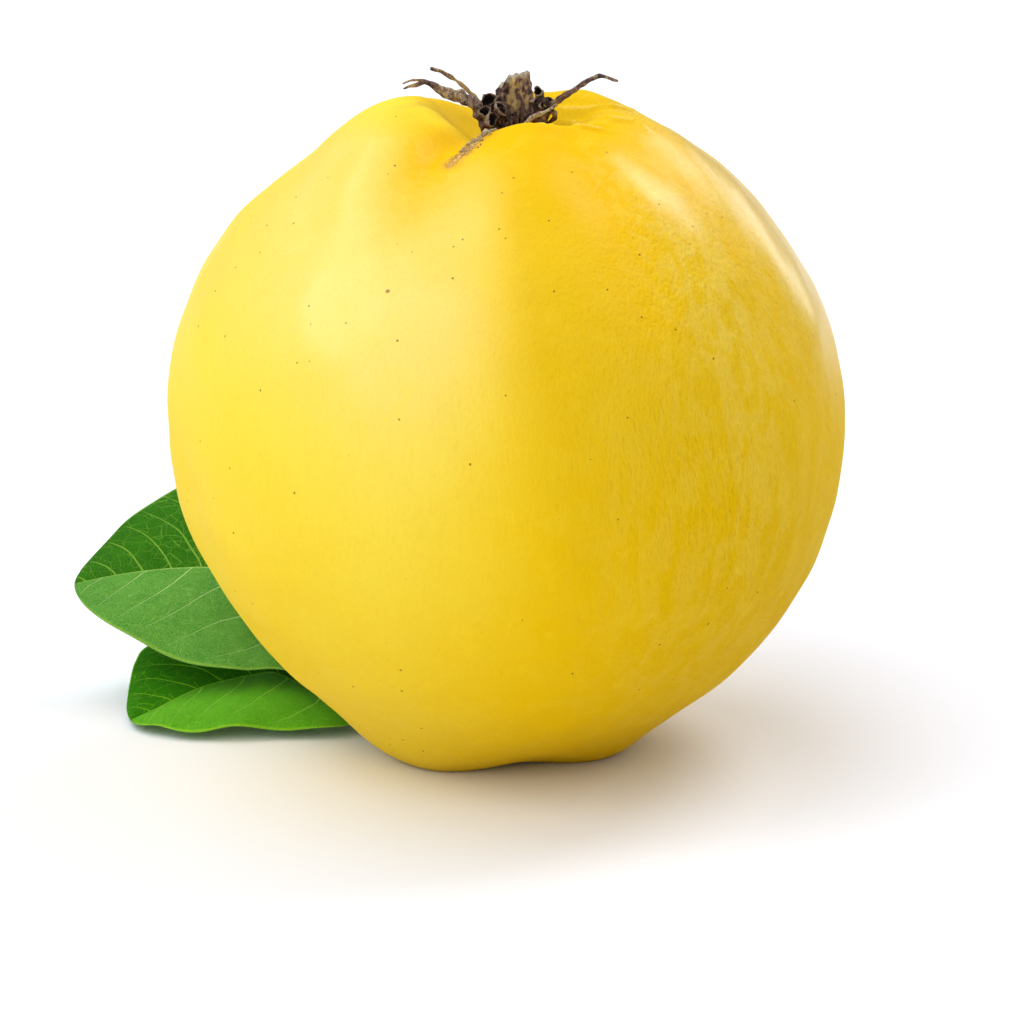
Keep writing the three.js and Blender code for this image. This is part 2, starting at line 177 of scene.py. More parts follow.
def new_piece(name, points, faces, material, replaced, marks=None):
    """A smooth mesh piece from points in millimetres, riding on the body, with its marks
    as attributes of its points."""
    mesh = bpy.data.meshes.new(name)
    mesh.from_pydata(((points + AXIS) * MM).tolist(), [], faces)
    for mark, values in (marks or {}).items():
        values = np.asarray(values, np.float32)
        if values.ndim == 1:
            mesh.attributes.new(mark, "FLOAT", "POINT").data.foreach_set("value", values)
        else:
            layer = mesh.attributes.new(mark, "FLOAT_VECTOR", "POINT")
            layer.data.foreach_set("vector", values.ravel())
    mesh.shade_smooth()
    mesh.update()
    piece = bpy.data.objects.new(name, mesh)
    bpy.context.scene.collection.objects.link(piece)
    piece.data.materials.append(material)
    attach(piece, "root")
    if replaced:
        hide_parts(replaced)


def tube_faces(rows, columns, first=0):
    """Quads round a tube of rings of points, and a fan at either end to a point of its
    own; the two end points come right after the rings."""
    faces = []
    low = first + rows * columns
    last = low - columns
    for j in range(columns):
        k = (j + 1) % columns
        for a in range(first, last, columns):
            faces.append((a + j, a + k, a + columns + k, a + columns + j))
        faces.append((low, first + k, first + j))
        faces.append((low + 1, last + j, last + k))
    return faces


class Heap:
    """Pieces of one mesh: points, faces and each point's tint and wool."""

    def __init__(self):
        self.points, self.faces, self.tints, self.wools, self.count = [], [], [], [], 0

    def add(self, rings, tint, wool=0.0):
        """A closed tube from rings of points, its ends closed by fans; its tint and wool
        are numbers, or one for each ring, or one for each point."""
        rows, columns = rings.shape[:2]
        body = rings.reshape(-1, 3)
        ends = np.array([rings[0].mean(0), rings[-1].mean(0)])
        self.faces += tube_faces(rows, columns, self.count)
        self.points.append(np.vstack([body, ends]))
        for kept, given in ((self.tints, tint), (self.wools, wool)):
            values = np.asarray(given, float)
            values = values[:, None] if values.ndim == 1 else values
            values = np.broadcast_to(values, (rows, columns)).ravel()
            kept.append(np.concatenate([values, [values[0], values[-1]]]))
        self.count += len(body) + 2

    def piece(self, name, material, slot, replaced):
        marks = {"tint": np.concatenate(self.tints), "wool": np.concatenate(self.wools)}
        new_piece(name, np.vstack(self.points), self.faces, material, replaced, marks)


def curve(points, steps):
    """Points at equal steps along a smooth line through the given ones."""
    fine = 40
    p = np.array(points, float)
    p = np.vstack([2 * p[0] - p[1], p, 2 * p[-1] - p[-2]])
    t = np.linspace(0, 1, fine, endpoint=False)[:, None]
    line = []
    for a, b, c, d in zip(p[:-3], p[1:-2], p[2:-1], p[3:]):
        line.append(0.5 * (2 * b + (c - a) * t + (2 * a - 5 * b + 4 * c - d) * t ** 2
                           + (3 * b - a - 3 * c + d) * t ** 3))
    return resampled(np.vstack(line + [p[-2:-1]]), steps)


def resampled(line, steps):
    """Points at equal steps along a line of many points."""
    path = np.r_[0, np.cumsum(np.linalg.norm(np.diff(line, axis=0), axis=1))]
    at = np.linspace(0, path[-1], steps + 1)
    return np.stack([np.interp(at, path, line[:, k]) for k in range(3)], 1)


def tube(points, sizes, steps, sides, rough=0.0, seed=1, ridges=0):
    """Rings round a smooth line, with half widths and half thicknesses along it, an
    uneven surface and lengthwise ridges."""
    line = curve(points, steps)
    along = np.gradient(line, axis=0)
    along /= np.linalg.norm(along, axis=1)[:, None]
    across = np.array([0, 1.0, 0]) - along * along[:, 1:2]
    across /= np.linalg.norm(across, axis=1)[:, None]
    over = np.cross(along, across)
    share = np.linspace(0, 1, steps + 1)
    at = np.linspace(0, 1, len(sizes))
    wide = np.interp(share, at, [s[0] for s in sizes])
    thick = np.interp(share, at, [s[1] for s in sizes])
    turn = 2 * np.pi * np.arange(sides) / sides
    rings = (line[:, None] + across[:, None] * (wide[:, None] * np.cos(turn))[..., None]
             + over[:, None] * (thick[:, None] * np.sin(turn))[..., None])
    outward = rings - line[:, None]
    swell = 1 + rough * lumps(rings.reshape(-1, 3), 1.3, seed).reshape(rings.shape[:2])
    swell *= 1 + 0.10 * np.sin(turn * ridges + 2 * share[:, None]) * (ridges > 0)
    return line[:, None] + outward * swell[..., None]


# Materials

class Wire:
    """What a socket gives; wires join with wires and numbers by the usual signs."""

    def __init__(self, paint, socket):
        self.paint, self.socket = paint, socket

    def math(self, operation, *others, clamp=False):
        return self.paint.add("ShaderNodeMath", {"operation": operation, "use_clamp": clamp},
                              {i: v for i, v in enumerate((self, *others))})[0]

    def __add__(self, other): return self.math("ADD", other)
    def __sub__(self, other): return self.math("SUBTRACT", other)
    def __mul__(self, other): return self.math("MULTIPLY", other)
    def __truediv__(self, other): return self.math("DIVIDE", other)
    def __radd__(self, other): return self.math("ADD", other)
    def __rmul__(self, other): return self.math("MULTIPLY", other)
    def __rsub__(self, other): return (self * -1).math("ADD", other)
    def __abs__(self): return self.math("ABSOLUTE")

    def fract(self): return self.math("FRACT")
    def over(self, other): return self.math("GREATER_THAN", other)
    def most(self, other): return self.math("MAXIMUM", other)
    def held(self): return self.math("ADD", 0.0, clamp=True)

    def step(self, low, high):
        """A smooth step from 0 to 1 as this wire goes from low to high."""
        settings = {"interpolation_type": "SMOOTHSTEP", "data_type": "FLOAT"}
        values = {"Value": self, "From Min": low, "From Max": high}
        return self.paint.add("ShaderNodeMapRange", settings, values)[0]


class Paint:
    """One material and its nodes."""

    def __init__(self, name, ior, coat_roughness=None):
        self.material = bpy.data.materials.new(name)
        self.material.use_nodes = True
        self.tree = self.material.node_tree
        self.shader = self.tree.nodes["Principled BSDF"]
        self.shader.inputs["IOR"].default_value = ior
        if coat_roughness is not None:
            self.shader.inputs["Coat Roughness"].default_value = coat_roughness

    def add(self, kind, settings=None, values=None):
        """A node with its settings first, then values or links of its sockets; gives its
        outputs that are in use."""
        node = self.tree.nodes.new(kind)
        for name, value in (settings or {}).items():
            setattr(node, name, value)
        for socket, value in (values or {}).items():
            target = node.inputs[socket]
            if isinstance(value, Wire):
                self.tree.links.new(value.socket, target)
            else:
                target.default_value = value
        return [Wire(self, socket) for socket in node.outputs if socket.enabled]

    def place(self):
        """The place on the piece, in millimetres."""
        spot = self.add("ShaderNodeTexCoord")[3]
        settings = {"operation": "SCALE"}
        return self.add("ShaderNodeVectorMath", settings, {0: spot, "Scale": 1000.0})[0]

    def mark(self, name):
        return self.add("ShaderNodeAttribute", {"attribute_name": name})[2]

    def mark_vector(self, name):
        spot = self.add("ShaderNodeAttribute", {"attribute_name": name})[1]
        return spot, self.add("ShaderNodeSeparateXYZ", None, {0: spot})

    def noise(self, place, size, detail=2.0, rough=0.5, warp=0.0):
        """Uneven values round 0.5 with patches of a size in millimetres."""
        values = {"Vector": place, "Scale": 1 / size, "Detail": detail, "Roughness": rough,
                  "Distortion": warp}
        return self.add("ShaderNodeTexNoise", {"normalize": True}, values)[0]

    def apart(self, place, spot):
        """Distance from a spot, in millimetres."""
        return self.add("ShaderNodeVectorMath", {"operation": "DISTANCE"}, {0: place, 1: spot})[0]

    def cells(self, place, size, feature="F1"):
        values = {"Vector": place, "Scale": 1 / size}
        return self.add("ShaderNodeTexVoronoi", {"feature": feature}, values)

    def dots(self, place, size, inner, outer, chosen_over):
        """Round dots in those cells of a size in millimetres whose random number is over
        a limit; inner and outer are the dots' edge, as shares of the size."""
        near, drawn = self.cells(place, size)[:2]
        chosen = self.add("ShaderNodeSeparateColor", None, {0: drawn})[0]
        return (1 - near.step(inner, outer)) * chosen.over(chosen_over)

    def shifted(self, place, by):
        return self.add("ShaderNodeVectorMath", {"operation": "ADD"}, {0: place, 1: by})[0]

    def squeezed(self, place, by):
        return self.add("ShaderNodeVectorMath", {"operation": "MULTIPLY"}, {0: place, 1: by})[0]

    def mix(self, share, a, b, blend="MIX"):
        settings = {"data_type": "RGBA", "blend_type": blend, "clamp_factor": True}
        values = {0: share, 6: a if isinstance(a, Wire) else (*a, 1),
                  7: b if isinstance(b, Wire) else (*b, 1)}
        return self.add("ShaderNodeMix", settings, values)[0]

    def finish(self, color, roughness, height=None, depth=0.0001, coat=None):
        link = self.tree.links.new
        link(color.socket, self.shader.inputs["Base Color"])
        link(roughness.socket, self.shader.inputs["Roughness"])
        if coat is not None:
            link(coat.socket, self.shader.inputs["Coat Weight"])
        if height is not None:
            bump = self.add("ShaderNodeBump", None, {"Height": height, "Distance": depth})[0]
            link(bump.socket, self.shader.inputs["Normal"])
        return self.material


# Colours of the skin
LEMON = (0.91, 0.685, 0.052)
GOLD = (0.91, 0.570, 0.001)
VALLEY_SHADE_AMBER = (0.86, 0.495, 0.0005)
SHEEN_YELLOW = (0.93, 0.73, 0.25)
SHADED_GOLD = (0.66, 0.400, 0.001)
HOLLOW_SHADE_OCHRE = (0.76, 0.46, 0.001)
DULL_BLOOM_AND_SHEEN = (0.86, 0.65, 0.12)
FIBRE_BROWN = (0.62, 0.36, 0.004)
LIGHT_MOTTLE = (0.95, 0.76, 0.07)
FINE_DOT = (0.42, 0.22, 0.02)
DARK_DOT = (0.17, 0.08, 0.015)
SINGLE_SPOT = (0.24, 0.08, 0.02)
PALE_SCAR = (0.92, 0.76, 0.26)
DIMPLE_SHADE_OCHRE = (0.46, 0.27, 0.01)
CRACK_STAIN = (0.62, 0.31, 0.06)
CORK_PINK = (0.66, 0.36, 0.15)
CORK_TAN = (0.90, 0.66, 0.34)
CORK_DARK = (0.30, 0.08, 0.02)
SLIT_BROWN = (0.30, 0.09, 0.03)


def skin_tone_and_painted_light(skin, place, patches, mottle, grain, wrinkle):
    """Lemon to golden skin with painted light: gold towards the right side, and towards the
    bottom as painted shade; a darker gold as painted shade at the far right and the bottom;
    a painted sheen of pale yellow where the highlights fall; painted shade in amber in the
    valleys and in ochre in the hollow; and a dull, finely wrinkled bloom on the side away
    from the cleft, partly a painted sheen along two bands."""
    side, low, felted = skin.mark("side"), skin.mark("low"), skin.mark("felted")
    # Gold towards the right side and the bottom; towards the bottom it is painted shade.
    gold_and_low_shade = (side * 0.82 + low * (0.36 + side * 0.25) + (patches - 0.57) * 0.8
            + (mottle - 0.5) * 0.30)
    color = skin.mix(gold_and_low_shade.held(), LEMON, GOLD)
    # Painted highlight: a sheen of pale yellow over the paler places.
    pale = skin.mark("pale") * (0.20 + mottle * 0.40)
    color = skin.mix(pale.held(), color, SHEEN_YELLOW)
    # Painted shade: a darker gold towards the right side and the bottom.
    shade = side * side * side * 0.45 + low * (0.20 + side * 0.20)
    color = skin.mix(shade.held(), color, SHADED_GOLD)
    # Painted shade: amber in the valleys.
    color = skin.mix((skin.mark("valley") * (0.70 + wrinkle * 0.6)).held(), color, VALLEY_SHADE_AMBER)
    # Painted shade: ochre inside the hollow round the calyx, reaching further at its back.
    color = skin.mix((skin.mark("hollow") * 0.8).held(), color, HOLLOW_SHADE_OCHRE)
    # A dull bloom in streaks on the right side, with a painted sheen along its two bands.
    streaks = skin.noise(skin.squeezed(place, (1.0, 1.0, 0.30)), 2.4, 4.0, 0.6, 0.8)
    bloom_and_sheen = (skin.mark("bloom_and_sheen") * streaks.step(0.38, 0.62)).held()
    color = skin.mix(bloom_and_sheen * 0.42, color, DULL_BLOOM_AND_SHEEN)
    fibres = grain.step(0.50, 0.72) * (0.08 + felted * 0.14)
    color = skin.mix(fibres.held(), color, FIBRE_BROWN)
    return skin.mix((mottle.step(0.50, 0.75) * 0.12).held(), color, LIGHT_MOTTLE)


def dotted(skin, place, grain, color):
    """Small dark dots, more of them where the skin is spotted, and the larger single ones."""
    dark = skin.dots(skin.shifted(place, (3.0, 1.0, 7.0)), 2.1, 0.045, 0.10,
                     0.80 - skin.mark("spotted") * 0.66)
    fine = skin.dots(skin.shifted(place, (9.0, 5.0, 2.0)), 2.3, 0.02, 0.07, 0.82)
    color = skin.mix(fine * 0.40, color, FINE_DOT)
    color = skin.mix(dark * 0.85, color, DARK_DOT)
    for down, round_, size in SPOTS:
        spot = skin_point(np.array(down), np.array(round_)) + AXIS
        apart = skin.apart(place, tuple(spot)) + (grain - 0.5) * size * 0.8
        color = skin.mix((1 - apart.step(size * 0.5, size)) * 0.85, color, SINGLE_SPOT)
    return color


def scarred(skin, place, color):
    """Pale scar lines, painted shade in the dimple at the head of the crack, and the stain,
    cork and slit along the crack; gives the colour, the share of cork and its height."""
    cork = skin.noise(place, 0.7, 3.0, 0.7, 0.6)
    crumb = skin.noise(place, 0.28, 2.0, 0.6)
    scar = 1 - (skin.mark("scar_mm") + (cork - 0.5) * 0.3).step(0.05, 0.40)
    color = skin.mix(scar * 0.32, color, PALE_SCAR)
    crack, along = skin.mark("crack_mm"), skin.mark("crack_along")
    # Painted shade in the dimple beside the head of the crack.
    dimple_shade = (1 - crack.step(0.8, 4.2)) * (1 - along.step(0.30, 0.62))
    color = skin.mix(dimple_shade * 0.45, color, DIMPLE_SHADE_OCHRE)
    stain = 1 - (crack + (cork - 0.5) * 2.5).step(0.9, 2.0)
    color = skin.mix(stain * 0.45, color, CRACK_STAIN)
    dark = crumb.step(0.52, 0.60) * cork.step(0.45, 0.6) * along.step(0.2, 0.7)
    crusty = skin.mix(crumb.step(0.36, 0.56), CORK_PINK, CORK_TAN)
    crusty = skin.mix(dark, crusty, CORK_DARK)
    edge = crack + (cork - 0.5) * 3.4 + along * 0.45
    crust = (1 - edge.step(0.55, 1.30)) * (1 - along * 0.45)
    color = skin.mix(crust, color, crusty)
    slit = (1 - (crack + (crumb - 0.42) * 2.6).step(0.04, 0.24)) * along.step(0.25, 0.6)
    color = skin.mix(slit * 0.75, color, SLIT_BROWN)
    return color, crust, cork * crust * 2.0 + crumb * crust * 1.2


def skin_material():
    skin = Paint("quince_skin", ior=1.09, coat_roughness=0.25)
    place = skin.place()
    side, felted = skin.mark("side"), skin.mark("felted")
    patches = skin.noise(place, 15.0, 3.0, 0.55)
    mottle = skin.noise(place, 3.6, 3.0, 0.6, 0.4)
    grain = skin.noise(skin.squeezed(place, (1.0, 1.0, 0.42)), 0.42, 2.0, 0.55)
    wrinkle = skin.noise(skin.squeezed(place, (1.0, 1.0, 0.35)), 1.0, 2.0, 0.6, 0.2)
    color = skin_tone_and_painted_light(skin, place, patches, mottle, grain, wrinkle)
    color = dotted(skin, place, grain, color)
    color, crust, cork_height = scarred(skin, place, color)
    rough = (0.50 + (mottle - 0.5) * 0.14 + side * 0.10 + crust * 0.4).held()
    height = wrinkle * (0.20 + felted * 0.55) + grain * (0.25 + felted * 0.65) + cork_height
    coat = skin.mark("waxy") * (0.65 + patches * 0.60) * (1 - skin.mark("valley") * 0.92)
    return skin.finish(color, rough, height, 0.00034, coat.held())


# Colours of the leaves, each for the near half of a blade and its far half: the near half is
# painted lighter as painted light and sheen, the far half darker as painted shade
LEAF_PATCH = [(0.13, 0.38, 0.04), (0.036, 0.19, 0.005)]
LEAF_MESH = [(0.21, 0.46, 0.11), (0.050, 0.23, 0.004)]
LEAF_VEIN = [(0.40, 0.68, 0.25), (0.28, 0.55, 0.07)]
LEAF_MARGIN = (0.36, 0.62, 0.08)
LEAF_UNDERSIDE = (0.30, 0.46, 0.20)


def vein_count(x, out, far):
    """How many side veins start before a place that is x along the midrib and out from it,
    in millimetres, and their distance apart. It takes arrays or wires; far is 0 on the near
    half of the blade and 1 on the far one."""
    gap = 6.2 - far * 2.2
    foot = x - out * (0.12 + far * 0.2) - out * out * (0.030 - far * 0.010) + far * 1.2
    return foot / gap, gap


def leaf_material(name, far_green, near_green, tint, gloss):
    leaf = Paint(name, ior=1.18)
    spot, (x, y, wide) = leaf.mark_vector("leaf_mm")
    underside = leaf.mark("underside")
    flat = leaf.squeezed(spot, (1.0, 1.0, 0.0))
    far = y.over(0.0)
    out = abs(y)
    share = (out / wide.most(0.4)).held()
    wander = leaf.noise(flat, 8.0, 1.0) - 0.5
    count, gap = vein_count(x + wander * 1.6, out, far)
    apart = abs(count.fract() - 0.5) * gap * 0.8
    taper = 1 - share * 0.65
    lateral = (1 - (apart / taper).step(0.07, 0.19)) * (1 - share.step(0.80, 0.97))
    midrib = 1 - (out / (1.2 - x * 0.016).most(0.3)).step(0.16, 0.34)
    warped = leaf.noise(flat, 2.0, 1.0)
    bend = leaf.add("ShaderNodeCombineXYZ", None, {0: warped, 1: warped, 2: 0.0})[0]
    bent = leaf.shifted(flat, bend)
    net = 1 - leaf.cells(bent, 1.7, "DISTANCE_TO_EDGE")[0].step(0.006, 0.034)
    mesh = 1 - leaf.cells(bent, 0.30, "DISTANCE_TO_EDGE")[0].step(0.06, 0.30)
    veins = (lateral * 0.90).most(net * (0.20 + far * 0.24)).most(midrib)
    tone = leaf.noise(flat, 6.0, 3.0, 0.6)
    # Painted light and shade: the near half of the blade lighter, the far half darker.
    color = leaf.mix(far, near_green, far_green)
    color = leaf.mix((tone.step(0.35, 0.70) * 0.35).held(), color, leaf.mix(far, *LEAF_PATCH))
    color = leaf.mix(mesh * (0.36 + far * 0.04), color, leaf.mix(far, *LEAF_MESH))
    color = leaf.mix((veins * (0.72 - far * 0.12)).held(), color, leaf.mix(far, *LEAF_VEIN))
    color = leaf.mix(share.step(0.965, 0.995) * 0.5, color, LEAF_MARGIN)
    color = leaf.mix(underside * 0.55, color, LEAF_UNDERSIDE)
    color = leaf.mix(1.0, color, tint, "MULTIPLY")
    rough = (gloss + mesh * 0.15 + underside * 0.2 + far * 0.2).held()
    height = (1 - lateral * 0.8) * (1 - midrib) - net * 0.3 - mesh * 0.3 + tone * 0.3
    return leaf.finish(color, rough, height, 0.00014)


def stalk_material():
    stalk = Paint("leaf_stalk", ior=1.45)
    place = stalk.place()
    tone = stalk.noise(place, 4.0, 3.0)
    fine = stalk.noise(place, 0.4, 2.0)
    color = stalk.mix(tone, (0.20, 0.42, 0.08), (0.36, 0.58, 0.16))
    color = stalk.mix((fine.step(0.55, 0.7) * 0.3).held(), color, (0.12, 0.22, 0.04))
    return stalk.finish(color, (0.45 + fine * 0.2).held(), fine, 0.00008)


def husk_material(name, dark, brown, tan, wool, size):
    """Withered tissue: dark, brown and tan grain along the piece, and pale down on it."""
    husk = Paint(name, ior=1.35)
    place = husk.place()
    tint, down = husk.mark("tint"), husk.mark("wool")
    grain = husk.noise(husk.squeezed(place, (1.0, 1.0, 0.30)), size, 4.0, 0.65, 0.6)
    clots = husk.noise(place, size * 1.8, 3.0, 0.6)
    fuzz = husk.noise(place, size * 0.35, 3.0, 0.7)
    share = (tint + (grain - 0.5) * 1.7 + (clots - 0.5) * 1.3).held()
    color = husk.mix(share.step(0.10, 0.45), dark, brown)
    color = husk.mix(share.step(0.50, 0.85), color, tan)
    color = husk.mix((down + (fuzz - 0.5) * 2.2 + (clots - 0.5)).step(0.45, 0.75), color, wool)
    color = husk.mix(fuzz.step(0.44, 0.34) * 0.7, color, dark)
    return husk.finish(color, (0.75 + fuzz * 0.2).held(), grain + fuzz * 0.6, 0.00035)


def floor_material():
    paper = Paint("pale_floor", ior=1.3)
    grain = paper.noise(paper.place(), 300.0, 2.0)
    color = paper.mix(grain, (0.89, 0.91, 0.985), (0.91, 0.93, 1.0))
    return paper.finish(color, (0.6 + grain * 0.05).held())


# The fruit

def unevenness(plain, round_, hollow):
    """Broad and fine unevenness of the skin, and low ridges that run out of the hollow."""
    ridges = np.cos(np.radians(round_ * 9 + 40 * lumps(plain, 30, 5)))
    return (0.22 * lumps(plain, 22, 3) + 0.07 * lumps(plain, 8, 4)
            + 0.16 * ridges * smooth(9, 15, hollow) * (1 - smooth(18, 34, hollow)))


def crack_relief(plain, crack, along):
    """The slit of the crack between its two swollen edges, which fade towards its end."""
    ragged = 1 + 0.35 * lumps(plain, 2.2, 8)
    slit = np.exp(-(crack / (0.36 * ragged)) ** 2) * smooth(0, 0.2, 1 - along)
    edges = np.exp(-((crack - 0.9) / 0.6) ** 2) * ragged * (1 - along)
    return 0.20 * edges - 0.35 * slit


def scar_relief(plain):
    """Thin raised scars with a shallow furrow at either side, and the distance from them."""
    off, scar = np.zeros(len(plain)), np.full(len(plain), 5.0)
    for line in SCARS:
        apart, along = near_line(plain, line)
        fade = smooth(0, 0.15, along) * (1 - smooth(0.7, 1, along))
        off += fade * 0.34 * np.exp(-(apart / 0.38) ** 2)
        off -= fade * 0.30 * np.exp(-((apart - 1.0) / 0.55) ** 2)
        scar = np.minimum(scar, apart + 1.2 * (1 - fade))
    return off, scar


def skin_marks(down, round_, direction, plain, hollow):
    """Where the skin is spotted, felted, golden and waxy; where painted shade goes, in the
    valleys, the hollow, towards the right side and the bottom; and where a painted sheen goes, in
    the pale places and along the bands of the dull bloom.
    """
    valley = sum(w * furrowed(down, round_, RADIUS, f[0], f[1], f[2] + 8, f[3] * 1.1)
                 for w, f in zip(VALLEY_SHADE_SHARES, VALLEYS))
    bloom_and_sheen = sum(furrowed(down, round_, RADIUS, *f) for f in BLOOM_AND_SHEEN_BANDS)
    golden = furrowed(down, round_, RADIUS, *GOLDEN)
    x, y = plain[:, 0], plain[:, 1]
    shine = np.clip(0.20 + sum(felt(direction, *s) for s in SHINE), 0, 1.1)
    return {
        "valley": np.clip(valley, 0, 1),
        "bloom_and_sheen": np.clip(bloom_and_sheen, 0, 1) + 0.35 * smooth(0, 30, x),
        "pale": np.clip(sum(felt(direction, *s) for s in SHEEN_PLACES), 0, 1) * (1 - golden),
        "spotted": felt(direction, *SPOTTED),
        "felted": smooth(4, 30, x) * (1 - smooth(110, 150, down)),
        # The side mark, towards the right and along the golden band, and the low mark, towards the
        # bottom, set where the painted shade goes.
        "side": np.clip(smooth(-20, 26, x) + 0.60 * golden, 0, 1),
        "low": smooth(68, 128, down),
        "waxy": (shine * smooth(16, 30, down) * (1 - smooth(62, 88, down))
                 * (1 - 0.85 * golden)),
        "hollow": 1 - smooth(9, 17, hollow - 12 * smooth(-4, 12, y)),
    }


def make_fruit():
    rows, columns = 239, 360
    share = np.linspace(0, 1, rows + 2)[1:-1]
    rings = 180 * (share - 0.4 * np.sin(2 * np.pi * share) / (2 * np.pi))
    down, round_ = np.meshgrid(rings, 360 * np.arange(columns) / columns, indexing="ij")
    down = np.r_[down.ravel(), 0, 180]
    round_ = np.r_[round_.ravel(), 0, 0]
    direction = heading(down, round_)
    plain = skin_point(down, round_)
    hollow = from_calyx(direction)
    crack, along = near_line(plain, CRACK)
    scar_off, scar = scar_relief(plain)
    off = unevenness(plain, round_, hollow) + crack_relief(plain, crack, along) + scar_off
    points = skin_point(down, round_, off)
    points[:, 2] = np.maximum(points[:, 2], 0)
    marks = skin_marks(down, round_, direction, plain, hollow)
    marks |= {"crack_mm": np.minimum(crack, 5), "crack_along": along,
              "scar_mm": np.minimum(scar, 5)}
    faces = [tuple(reversed(face)) for face in tube_faces(rows, columns)]
    new_piece("quince_fruit", points, faces, skin_material(), "fruit", marks)


# The leaves

LEAVES = {
    "leaf_upper": {
        "near": [
            (-16.5, 8.6, 3.0), (-22, 8.2, 4.9), (-29.2, 7.5, 7.6), (-34.3, 7.5, 7.2),
            (-39.4, 8.5, 7.4), (-44.7, 10.5, 8.7), (-50.8, 13.5, 10.8), (-55.0, 17.0, 12.7),
            (-57.1, 20.0, 13.8)],
        "tip": (-58.0, 23.0, 14.9),
        "far": [
            (-57.5, 26.0, 15.9), (-56.5, 28.0, 16.8), (-54.1, 31.0, 18.9), (-51.6, 33.5, 21.3),
            (-48.6, 35.5, 23.2), (-44.7, 37.0, 25.2), (-40.5, 38.0, 26.5), (-31.5, 38.0, 24.0),
            (-25.5, 33.0, 15.5), (-21, 24.0, 8.0), (-16.5, 8.6, 3.0)],
        "middle": [
            (-16.5, 8.6, 3.0), (-22.5, 13.5, 6.0), (-28.6, 18.6, 11.6), (-34.0, 22.2, 15.6),
            (-38.8, 24.0, 16.7), (-43.6, 24.5, 16.6), (-48.4, 24.5, 16.2), (-53.2, 24.0, 15.6),
            (-58.0, 23.0, 14.9)],
        "stalk": [(-3.5, 1.9, 2.6), (-8, 4.2, 2.0), (-12.5, 6.5, 2.2)],
    },
    "leaf_lower": {
        "near": [
            (-17.0, 2.6, 1.9), (-22.0, -0.5, 1.6), (-30.8, -1.0, 1.8), (-34.7, -1.5, 1.9),
            (-38.8, -1.5, 1.6), (-41.9, -1.0, 1.6), (-45.0, 0.5, 1.6), (-47.2, 2.0, 1.2)],
        "tip": (-48.9, 4.5, 1.0),
        "far": [
            (-49.9, 9.0, 1.2), (-50.2, 13.5, 1.6), (-50.2, 18.0, 2.4), (-49.8, 23.0, 3.7),
            (-48.2, 27.0, 5.0), (-40.5, 31.0, 8.2), (-34.0, 31.0, 7.6), (-27.0, 25.0, 4.6),
            (-21.0, 12.5, 2.0), (-17.0, 2.6, 1.9)],
        "middle": [
            (-17.0, 2.6, 1.9), (-22.5, 7.5, 2.6), (-29.6, 13.5, 4.6), (-32.9, 14.5, 4.2),
            (-36.0, 14.5, 3.6), (-39.9, 13.5, 2.8), (-42.8, 11.5, 2.1), (-45.4, 9.0, 1.4),
            (-48.9, 4.5, 1.0)],
        "stalk": [(-3.9, -0.2, 1.5), (-9, 0.5, 1.3), (-13, 1.6, 1.5)],
    },
}
BLADE_THICK = 0.6
BLADE_PUFF = 0.8


def make_blade(name, material):
    """A blade with two faces and a rim, raised between its side veins."""
    form = LEAVES[name]
    rows, half = 110, 24
    outline = curve([*form["near"], form["tip"], *form["far"]], 900)
    turn = np.argmin(np.linalg.norm(outline - np.array(form["tip"]), axis=1))
    near = resampled(outline[:turn + 1], rows)
    far = resampled(outline[turn:][::-1], rows)
    rib = curve(form["middle"], rows)
    share = np.linspace(-1, 1, 2 * half + 1)
    edge = np.where(share[None, :, None] < 0, near[:, None], far[:, None])
    middle = rib[:, None] + (edge - rib[:, None]) * np.abs(share)[None, :, None]
    step = np.linalg.norm(np.diff(rib, axis=0), axis=1).sum() / rows
    x = np.broadcast_to((np.arange(rows + 1) * step)[:, None], middle.shape[:2])
    near_wide = np.linalg.norm(near - rib, axis=1)
    far_wide = np.linalg.norm(far - rib, axis=1)
    wide = np.where(share[None] < 0, near_wide[:, None], far_wide[:, None])
    y = wide * share[None]
    normal = np.cross(np.gradient(middle, axis=0), np.gradient(middle, axis=1))
    normal /= np.maximum(np.linalg.norm(normal, axis=2), 1e-9)[..., None]
    normal *= np.sign(normal[..., 2:3] + 1e-9)
    normal[0], normal[-1] = normal[1], normal[-2]
    out = np.abs(share)[None]
    far_side = (share[None] > 0) * 1.0
    count, _ = vein_count(x, np.abs(y), far_side)
    quilt = 0.16 * (0.5 - np.abs(count % 1 - 0.5)) * smooth(0.02, 0.3, out) * (1 - out ** 6)
    flutter = (0.35 * np.sin(x * 0.42 + 1.3 * np.sign(share)[None]) * out ** 4
               * np.sin(np.pi * x / x.max()))
    puff = BLADE_PUFF * 4 * out * (1 - out)
    ends = np.sin(np.pi * np.clip(x / x.max(), 0, 1)) ** 0.3
    thick = BLADE_THICK * (1 - 0.7 * out ** 6) * ends
    lift = puff * ends - quilt * 2 + flutter
    top = middle + normal * (lift + thick / 2)[..., None]
    under = middle + normal * (lift - thick / 2)[..., None]
    rings = np.concatenate([top, under[:, ::-1]], 1)[1:-1]
    columns = rings.shape[1]
    points = np.vstack([rings.reshape(-1, 3), middle[0, 0], middle[-1, 0]])
    faces = tube_faces(rows - 1, columns)
    flat = np.stack([x, y, wide], -1)
    flat = np.concatenate([flat, flat[:, ::-1]], 1)[1:-1].reshape(-1, 3)
    flat = np.vstack([flat, [0, 0, 0.4], [x.max(), 0, 0.4]])
    below = np.tile(np.r_[np.zeros(2 * half + 1), np.ones(2 * half + 1)], rows - 1)
    below = np.r_[below, 0, 0]
    new_piece(name + "_blade", points, faces, material, name,
              {"leaf_mm": flat, "underside": below})


